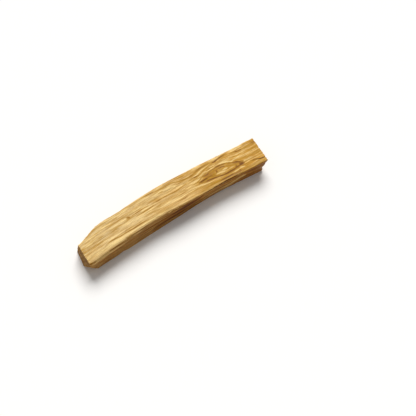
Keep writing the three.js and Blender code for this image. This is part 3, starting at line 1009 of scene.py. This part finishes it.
def growth_group():
    """What grew in the wood: rings, strands between them, resin, pores and fibres, as masks."""
    outputs = ("Ring", "Strand", "Sinew", "Resin", "Pore", "Fibre", "Cloud")
    board, given, results = new_group("Growth of the wood", {"Grain": VECTOR, "Layer": VALUE}, outputs)
    grain, layer = given["Grain"], given["Layer"]
    x, _, z = board.split(grain)

    def along_layers(name):
        length, thick, deep, seed, detail, roughness = LAYER_NOISE[name]
        place = board.vector(
            board.math("DIVIDE", x, length), board.math("DIVIDE", layer, thick),
            board.plus(board.math("DIVIDE", z, deep), seed),
        )
        return board.noise(place, detail, roughness)

    wander = board.times(along_layers("Wander"), RING_WANDER)
    turns = board.plus(board.math("DIVIDE", layer, RING_SPACING), wander)
    phase = board.math("FRACT", turns)
    late = board.times(board.step(phase, *RING_LATE), board.step(phase, *RING_EDGE))
    number = board.times(board.math("FLOOR", turns), RING_STEP)
    shown = board.noise(board.vector(board.math("DIVIDE", x, RING_STRETCH), number, 0.5), 1.0)
    board.feed(results["Ring"], board.times(late, board.step(shown, *RING_SHOWN)))
    board.feed(results["Strand"], along_layers("Strand"))
    board.feed(results["Sinew"], along_layers("Sinew"))
    board.feed(results["Resin"], board.step(along_layers("Resin"), *RESIN_SPAN))
    board.feed(results["Pore"], board.step(along_grain(board, grain, "Pore"), *PORE_SPAN))
    board.feed(results["Fibre"], along_grain(board, grain, "Fibre"))
    board.feed(results["Cloud"], along_grain(board, grain, "Cloud"))
    return board.tree


def sawn_group():
    """What a saw leaves on end grain: tool marks, open pores and smeared patches, as masks."""
    inputs = {"Grain": VECTOR, "Spacing": VALUE}
    board, given, results = new_group("Sawn end", inputs, ("Marks", "Pores", "Smear"))
    grain = given["Grain"]
    _, y, z = board.split(grain)
    wander = board.times(along_grain(board, grain, "Ragged"), MARK_WANDER)
    line = board.plus(board.plus(z, board.times(y, SAW_SLANT)), wander)
    turns = board.math("DIVIDE", line, given["Spacing"])
    wave = board.math("SINE", board.times(turns, 2 * math.pi))
    board.feed(results["Marks"], board.step(wave, *MARK_SPAN))
    cells = board.put("ShaderNodeTexVoronoi", {"Vector": board.shrunk(grain, END_PORE_SIZES), "Scale": 1.0})
    board.feed(results["Pores"], board.step(cells.outputs["Distance"], *END_PORE_SPAN))
    board.feed(results["Smear"], along_grain(board, grain, "Smear"))
    return board.tree


def opaque(colour):
    return tuple(colour) + (1.0,)


def new_material(name):
    """An empty material and the board of its nodes."""
    material = bpy.data.materials.new(name)
    material.use_nodes = True
    material.node_tree.nodes.clear()
    return material, Board(material.node_tree)


def finish_material(board, inputs):
    shader = board.put("ShaderNodeBsdfPrincipled", inputs)
    board.put("ShaderNodeOutputMaterial", {0: shader.outputs[0]})


def heartwood_material(colours):
    """Bare golden heartwood: riven faces with brown figure, painted shade on the front face, sawn end grain
    and handled arrises.
    """
    material, board = new_material("palo_heartwood")
    tints = {name: opaque(getattr(colours, name)) for name in WoodColours.__annotations__}
    grain = board.attribute("grain", "Vector")
    growth = board.group(growth_group(), {"Grain": grain, "Layer": board.attribute("layer")})
    sawn = board.group(sawn_group(), {"Grain": grain, "Spacing": SAW_MARK_SPACING})
    masks = {socket.name: socket for socket in [*growth, *sawn]}

    def stained(colour, stains):
        for name, span, strength, tint in stains:
            mask = board.step(masks[name], *span) if span else masks[name]
            colour = board.blend(board.times(mask, strength), colour, tints[tint])
        return colour

    def changed(value, changes):
        for name, share in changes.items():
            value = board.plus(value, board.times(masks[name], share))
        return value

    facing = board.split(board.put("ShaderNodeTexCoord").outputs["Normal"])
    masks["end"] = board.step(board.math("ABSOLUTE", facing[0]), *END_SPAN)
    ragged = board.times(board.minus(masks["Sinew"], NOISE_MIDDLE), SINEW_RAGGED)
    frontward = board.plus(board.times(facing[1], -1.0), board.times(ragged, FRONT_RAGGED))
    on_front = board.step(frontward, *SIDE_SPAN)
    on_back = board.step(facing[1], *SIDE_SPAN)

    # The figure, its edges made ragged by the sinews and the fibres.
    masks["eye"] = board.plus(board.attribute("eye"), ragged)
    drawn = board.attribute("drawn")
    hairs = board.plus(ragged, board.times(board.minus(masks["Fibre"], NOISE_MIDDLE), FIBRE_RAGGED))
    for name, lines in (("dark", drawn), ("light", board.times(drawn, -1.0))):
        masks[name] = board.plus(lines, board.times(hairs, board.step(lines, *RAGGED_SPAN)))

    colour = board.blend(board.step(board.split(grain)[0], *GOLDEN_SPAN), tints["tan"], tints["golden"])
    colour = stained(colour, WOOD_STAINS)

    # The front face is darkened with painted shade, as a face turned away from the key light, and lifted
    # where a light line lies; the back face is a little darker.
    masks["lightness"] = board.step(masks["light"], *LIGHT_SPAN)
    front_shade = changed(FRONT_SHADE, FRONT_SHADE_CHANGES)
    front = stained(board.blend(front_shade, colour, tints["front"], "MULTIPLY"), FRONT_STAINS)
    colour = board.blend(on_front, colour, front)
    colour = board.blend(on_back, colour, board.blend(1.0, colour, tints["back"], "MULTIPLY"))

    # Fibres, handled arrises and sawn ends.
    masks["fibre"] = board.step(masks["Fibre"], *FIBRE_SPAN)
    tone = changed(TONE, TONE_CHANGES)
    colour = board.blend(1.0, colour, board.vector(tone, tone, tone), "MULTIPLY")
    rubbed = board.times(board.attribute("arris"), board.step(masks["Strand"], *RUBBED_SPAN))
    masks["rubbed"] = board.times(rubbed, board.minus(1.0, on_front))
    colour = stained(colour, RUBBED_STAINS)
    end = board.blend(board.step(masks["Smear"], *SMEAR_SPAN), tints["end_light"], tints["end_dark"])
    colour = board.blend(masks["end"], colour, stained(end, END_STAINS))

    sawn_height = board.minus(board.times(masks["Marks"], MARK_HEIGHT), masks["Pores"])
    masks["sawn"] = board.times(sawn_height, masks["end"])
    height = changed(masks["Fibre"], HEIGHT_CHANGES)
    bump = board.put("ShaderNodeBump", {
        "Height": height, "Distance": BUMP_DEPTH * MM, "Strength": BUMP_STRENGTH,
    })
    finish_material(board, {
        "Base Color": colour,
        "Roughness": changed(ROUGHNESS, ROUGHNESS_CHANGES),
        "Normal": bump.outputs[0],
        "Specular IOR Level": SPECULAR,
    })
    return material


def splinter_material(colours):
    """Raised fibres: pale dry wood, browner here and there."""
    material, board = new_material("palo_raised_fibre")
    place = board.put("ShaderNodeTexCoord").outputs["Object"]
    spots = board.noise(board.shrunk(place, [size * MM for size in SPOT_SIZES]), *SPOT_NOISE)
    colour = board.blend(board.step(spots, *SPOT_SPAN), opaque(colours.golden), opaque(colours.pale))
    rough = board.plus(board.times(spots, SPOT_ROUGHNESS), SPLINTER_ROUGHNESS)
    finish_material(board, {"Base Color": colour, "Roughness": rough})
    return material


# Raised fibres, by Geometry Nodes: the sides and rings of each, how far they sway and lift, their smallest
# and largest scale, and the seeds of their places, way, sway and sizes.
SPLINTER_SIDES = 5
SPLINTER_RINGS = 3
SPLINTER_SWAY = 0.1
SPLINTER_LIFT = 0.09
SPLINTER_SCALES = ((0.5, 0.5, 0.3), (1.2, 1.2, 1.3))
SPLINTER_SEEDS = {"places": 7, "way": 3, "sway": 5, "sizes": 9}


def fibre_tree(material):
    """Thin pointed splinters that lie along the grain where the mesh's rim attribute puts them."""
    tree = bpy.data.node_groups.new("Raised fibres", "GeometryNodeTree")
    tree.interface.new_socket("Geometry", in_out="INPUT", socket_type="NodeSocketGeometry")
    for label in ("Density", "Length", "Thickness"):
        tree.interface.new_socket(label, in_out="INPUT", socket_type=VALUE)
    tree.interface.new_socket("Seed", in_out="INPUT", socket_type="NodeSocketInt")
    tree.interface.new_socket("Geometry", in_out="OUTPUT", socket_type="NodeSocketGeometry")
    board = Board(tree)
    given = board.put("NodeGroupInput").outputs

    where = board.put("GeometryNodeInputNamedAttribute", {"Name": "rim"}).outputs["Attribute"]
    roots = board.put("GeometryNodeDistributePointsOnFaces", {
        "Mesh": given["Geometry"],
        "Density": board.times(where, given["Density"]),
        "Seed": given["Seed"],
    }).outputs
    splinter = board.put("GeometryNodeMeshCone", {
        "Vertices": SPLINTER_SIDES,
        "Side Segments": SPLINTER_RINGS,
        "Radius Top": 0.0,
        "Radius Bottom": given["Thickness"],
        "Depth": given["Length"],
    }).outputs["Mesh"]

    # A splinter points one way or the other along X, sways a little and lifts off the face it grew in.
    def random_vector(low, high, name):
        inputs = {0: low, 1: high, "Seed": SPLINTER_SEEDS[name]}
        return board.put("FunctionNodeRandomValue", inputs, data_type="FLOAT_VECTOR").outputs[0]

    way = board.math("SIGN", board.split(random_vector((-1, -1, -1), (1, 1, 1), "way"))[0])
    sway = random_vector((0, -SPLINTER_SWAY, -SPLINTER_SWAY), (0, SPLINTER_SWAY, SPLINTER_SWAY), "sway")
    lift = board.put("ShaderNodeVectorMath", {0: roots["Normal"], "Scale": SPLINTER_LIFT}, operation="SCALE")
    ahead = board.put("ShaderNodeVectorMath", {0: board.vector(way, 0.0, 0.0), 1: sway}).outputs[0]
    ahead = board.put("ShaderNodeVectorMath", {0: ahead, 1: lift.outputs[0]}).outputs[0]
    turned = board.put("FunctionNodeAlignRotationToVector", {"Vector": ahead}, axis="Z").outputs[0]
    copies = board.put("GeometryNodeInstanceOnPoints", {
        "Points": roots["Points"],
        "Instance": splinter,
        "Rotation": turned,
        "Scale": random_vector(*SPLINTER_SCALES, "sizes"),
    }).outputs[0]
    real = board.put("GeometryNodeRealizeInstances", {0: copies}).outputs[0]
    finished = board.put("GeometryNodeSetMaterial", {"Geometry": real, "Material": material}).outputs[0]
    board.put("NodeGroupOutput", {"Geometry": finished})
    return tree


# The studio: the side of the picture in pixels, the sensor's width, the nearest that the camera sees, and
# the pixel that a point of the stick falls on.
PHOTO_SIDE = 416
SENSOR = 36
CLIP_START = 0.01
AIM_PIXEL = (170.2, 198.7)
AIM_MM = (-1.142, -0.174, 10)

# The floor, which reaches this far to each side in metres, and the light.
FLOOR_HALF = 5
FLOOR_ROUGHNESS = 0.9
KEY_DIRECTION = (0.45, 0.7, 0.95)
KEY_SOFTNESS = math.radians(40)
KEY_COLOUR = (1, 0.985, 0.965)
AIR_COLOUR = (1, 0.99, 0.97)
BACKDROP_COLOUR = (1, 1, 0.995)
BACKDROP_STRENGTH = 1.0


def camera_axes(elevation, azimuth):
    back = Vector((
        math.sin(azimuth) * math.cos(elevation),
        -math.cos(azimuth) * math.cos(elevation),
        math.sin(elevation),
    ))
    right = Vector((math.cos(azimuth), math.sin(azimuth), 0))
    return right, back.cross(right), back


def make_camera(stage):
    """The camera, placed so that one point of the stick falls on its pixel of the square picture."""
    right, up, back = camera_axes(stage.elevation, stage.azimuth)
    data = bpy.data.cameras.new("photo_camera")
    data.lens = stage.lens
    data.sensor_width = SENSOR
    data.clip_start = CLIP_START
    focal = PHOTO_SIDE * stage.lens / SENSOR
    off_right = (AIM_PIXEL[0] - PHOTO_SIDE / 2) / focal
    off_up = -(AIM_PIXEL[1] - PHOTO_SIDE / 2) / focal
    location = Vector(AIM_MM) * MM - stage.distance * (off_right * right + off_up * up - back)
    camera = new_object("photo_camera", data)
    for row in range(3):
        camera.matrix_world[row][:] = (right[row], up[row], back[row], location[row])
    bpy.context.scene.camera = camera


def make_key_light(strength):
    """Soft light from far away."""
    data = bpy.data.lights.new("key_light", "SUN")
    data.angle = KEY_SOFTNESS
    data.energy = strength
    data.color = KEY_COLOUR
    lamp = new_object("key_light", data)
    lamp.rotation_mode = "QUATERNION"
    lamp.rotation_quaternion = Vector(KEY_DIRECTION).to_track_quat("Z", "Y")


def make_floor(stage):
    """A wide pale floor at the underside of the stick."""
    mesh = bpy.data.meshes.new("studio_floor")
    corners = [(x * FLOOR_HALF, y * FLOOR_HALF, 0) for x, y in ((-1, -1), (1, -1), (1, 1), (-1, 1))]
    mesh.from_pydata(corners, [], [(0, 1, 2, 3)])
    material, board = new_material("studio_floor")
    finish_material(board, {"Base Color": opaque(stage.floor_colour), "Roughness": FLOOR_ROUGHNESS})
    mesh.materials.append(material)
    new_object("studio_floor", mesh)


# Settings that a user would change.

def screen(red, green, blue):
    """A screen colour from 0 to 255 as linear values."""
    def channel(value):
        share = value / 255
        return share / 12.92 if share <= 0.04045 else ((share + 0.055) / 1.055) ** 2.4
    return tuple(channel(value) for value in (red, green, blue))


def colour_setting(name, description, default):
    return bpy.props.FloatVectorProperty(
        name=name, description=description, default=default, size=3, min=0, max=1, subtype="COLOR"
    )


def length_setting(name, description, millimetres):
    return bpy.props.FloatProperty(
        name=name, description=description, default=millimetres * MM, min=0, precision=5, unit="LENGTH"
    )


def number_setting(name, description, default, **limits):
    return bpy.props.FloatProperty(name=name, description=description, default=default, **limits)


class WoodSizes(bpy.types.PropertyGroup):
    fibre_relief: length_setting("Fibre relief", "How far fibres stand out of the riven faces", 0.1)
    eye_relief: length_setting("Eye relief", "How far the eye swells out of the top face", 0.05)
    saw_relief: length_setting("Saw relief", "Depth of the marks that the saw left on the ends", 0.035)
    crack_width: length_setting("Crack width", "Width of the drying crack at its mouth", 0.65)
    crack_depth: length_setting("Crack depth", "Depth of the drying crack below the top face", 2.8)
    fibre_length: length_setting("Splinter length", "Length of a raised splinter", 2.6)
    fibre_thickness: length_setting("Splinter thickness", "Radius of a raised splinter at its root", 0.045)
    fibre_density: number_setting("Splinter density", "Raised splinters on a square metre", 500000, min=0)


class WoodColours(bpy.types.PropertyGroup):
    tan: colour_setting("Tan", "Plain wood at the narrow end", screen(229, 199, 142))
    golden: colour_setting("Golden", "Plain wood at the wide end", screen(204, 150, 58))
    pale: colour_setting("Pale", "Light streaks and rubbed arrises", screen(250, 219, 148))
    ochre: colour_setting("Ochre", "Growth rings and the softer streaks", screen(182, 132, 27))
    brown: colour_setting("Brown", "Resin and the stronger streaks", screen(150, 98, 22))
    umber: colour_setting("Umber", "The darkest lines, such as the eye's outline", screen(108, 60, 12))
    # The front tint is painted shade: it darkens the front face as a face turned away from the key light.
    front: colour_setting("Front tint", "What the front face does to the wood's colour", (0.61, 0.45, 0.265))
    back: colour_setting("Back tint", "What the back face does to the wood's colour", (0.86, 0.8, 0.72))
    end_light: colour_setting("End grain", "Light patches of the sawn ends", screen(174, 126, 56))
    end_dark: colour_setting("End grain, dark", "Dark patches of the sawn ends", screen(120, 80, 30))


class StageSettings(bpy.types.PropertyGroup):
    elevation: number_setting("Elevation", "How far the view looks down", math.radians(60), subtype="ANGLE")
    azimuth: number_setting("Azimuth", "From the front to the camera", math.radians(-34.4), subtype="ANGLE")
    lens: number_setting("Lens", "Focal length in millimetres", 75, min=1)
    distance: length_setting("Distance", "From the camera to the stick, along its line of sight", 405.6)
    floor_colour: colour_setting("Floor", "The studio floor", (0.93, 0.93, 0.925))
    key_strength: number_setting("Key light", "Strength of the soft light from behind", 3.3, min=0)
    air_strength: number_setting("Air light", "Strength of the even light from all round", 0.32, min=0)


# Operators.

SHARP_ANGLE = math.radians(50)


def finish_wood(mesh):
    """Stores what the material reads, then moves the mesh from the form's own place to the frame's."""
    place = of_vertices(mesh, "co")
    grain = grain_of(place)
    eye, layer = eye_of(place, grain)
    arris = arris_of(place)
    inner = smooth(np.abs(place[:, 0]), *FIBRE_ENDS)
    store(mesh, "grain", grain)
    store(mesh, "layer", layers_of(grain, layer))
    store(mesh, "eye", eye)
    store(mesh, "drawn", lines_of(place, of_vertices(mesh, "normal")))
    store(mesh, "arris", arris)
    store(mesh, "rim", arris**2 * inner * smooth(place[:, 2], *FIBRE_FOOT))
    low, high = (np.array(corner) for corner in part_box(NODE))
    middle = (place.min(0) + place.max(0)) / 2 * MM
    place = place * MM
    place[:, :2] += ((low + high) / 2 - middle)[:2]
    move_vertices(mesh, place)


class PALO_OT_carve_stick(bpy.types.Operator):
    """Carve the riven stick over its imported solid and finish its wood"""

    bl_idname = "palo.carve_stick"
    bl_label = "Carve stick"

    def execute(self, context):
        sizes, colours = context.scene.palo_sizes, context.scene.palo_colours
        piece = new_object("stick_wood", carve_form(sizes))
        low = CRACK_TOP - sizes.crack_depth / MM
        high = THICKNESS + CRACK_HEADROOM
        air = new_object("crack_air", blade(CRACK_PATH, sizes.crack_width / MM, low, high))
        cut = piece.modifiers.new("crack", "BOOLEAN")
        cut.operation = "DIFFERENCE"
        cut.solver = "MANIFOLD"
        cut.object = air
        mesh = baked(piece)
        bpy.data.objects.remove(air)
        finish_wood(mesh)
        mesh.materials.clear()
        mesh.materials.append(heartwood_material(colours))
        mesh.polygons.foreach_set("use_smooth", [True] * len(mesh.polygons))
        mesh.set_sharp_from_angle(angle=SHARP_ANGLE)
        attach(piece, BODY)
        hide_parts(NODE)
        return {"FINISHED"}


class PALO_OT_raise_fibres(bpy.types.Operator):
    """Raise thin splinters along the arrises of the stick"""

    bl_idname = "palo.raise_fibres"
    bl_label = "Raise fibres"

    def execute(self, context):
        sizes, colours = context.scene.palo_sizes, context.scene.palo_colours
        piece = new_object("raised_fibres", bpy.data.objects["stick_wood"].data.copy())
        material = splinter_material(colours)
        tree = fibre_tree(material)
        modifier = piece.modifiers.new("fibres", "NODES")
        modifier.node_group = tree
        values = {
            "Density": sizes.fibre_density,
            "Length": sizes.fibre_length,
            "Thickness": sizes.fibre_thickness,
            "Seed": SPLINTER_SEEDS["places"],
        }
        for socket in tree.interface.items_tree:
            if socket.in_out == "INPUT" and socket.name in values:
                modifier[socket.identifier] = values[socket.name]
        mesh = baked(piece)
        mesh.materials.clear()
        mesh.materials.append(material)
        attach(piece, BODY)
        return {"FINISHED"}


class PALO_OT_set_stage(bpy.types.Operator):
    """Set the pale floor, the soft lights and the camera"""

    bl_idname = "palo.set_stage"
    bl_label = "Set stage"

    def execute(self, context):
        stage = context.scene.palo_stage
        make_floor(stage)
        make_key_light(stage.key_strength)
        world = bpy.data.worlds.new("studio_air")
        world.use_nodes = True
        background = world.node_tree.nodes["Background"]
        background.inputs["Color"].default_value = opaque(AIR_COLOUR)
        background.inputs["Strength"].default_value = stage.air_strength
        board = Board(world.node_tree)
        shown = {"Color": opaque(BACKDROP_COLOUR), "Strength": BACKDROP_STRENGTH}
        backdrop = board.put("ShaderNodeBackground", shown)
        seen = board.put("ShaderNodeLightPath").outputs["Is Camera Ray"]
        both = board.put("ShaderNodeMixShader", {0: seen, 1: background.outputs[0], 2: backdrop.outputs[0]})
        board.feed(world.node_tree.nodes["World Output"].inputs["Surface"], both.outputs[0])
        context.scene.world = world
        context.scene.view_settings.view_transform = "Standard"
        make_camera(stage)
        return {"FINISHED"}


class PALO_PT_panel(bpy.types.Panel):
    """The steps that build the stick and its studio"""

    bl_idname = "PALO_PT_panel"
    bl_label = "Palo Santo"
    bl_space_type = "VIEW_3D"
    bl_region_type = "UI"
    bl_category = "Palo Santo"

    def draw(self, context):
        layout = self.layout
        for operator in OPERATORS:
            layout.operator(operator.bl_idname)
        for setting, cls in SETTINGS.items():
            for name in cls.__annotations__:
                layout.prop(getattr(context.scene, setting), name)


OPERATORS = (PALO_OT_set_stage, PALO_OT_carve_stick, PALO_OT_raise_fibres)
SETTINGS = {"palo_sizes": WoodSizes, "palo_colours": WoodColours, "palo_stage": StageSettings}
CLASSES = (*SETTINGS.values(), *OPERATORS, PALO_PT_panel)


def register():
    for cls in CLASSES:
        bpy.utils.register_class(cls)
    for setting, cls in SETTINGS.items():
        setattr(bpy.types.Scene, setting, bpy.props.PointerProperty(type=cls))


def unregister():
    for setting in SETTINGS:
        delattr(bpy.types.Scene, setting)
    for cls in reversed(CLASSES):
        bpy.utils.unregister_class(cls)


def main():
    register()
    bpy.ops.palo.set_stage()
    bpy.ops.palo.carve_stick()
    bpy.ops.palo.raise_fibres()


if __name__ == "__main__":
    main()
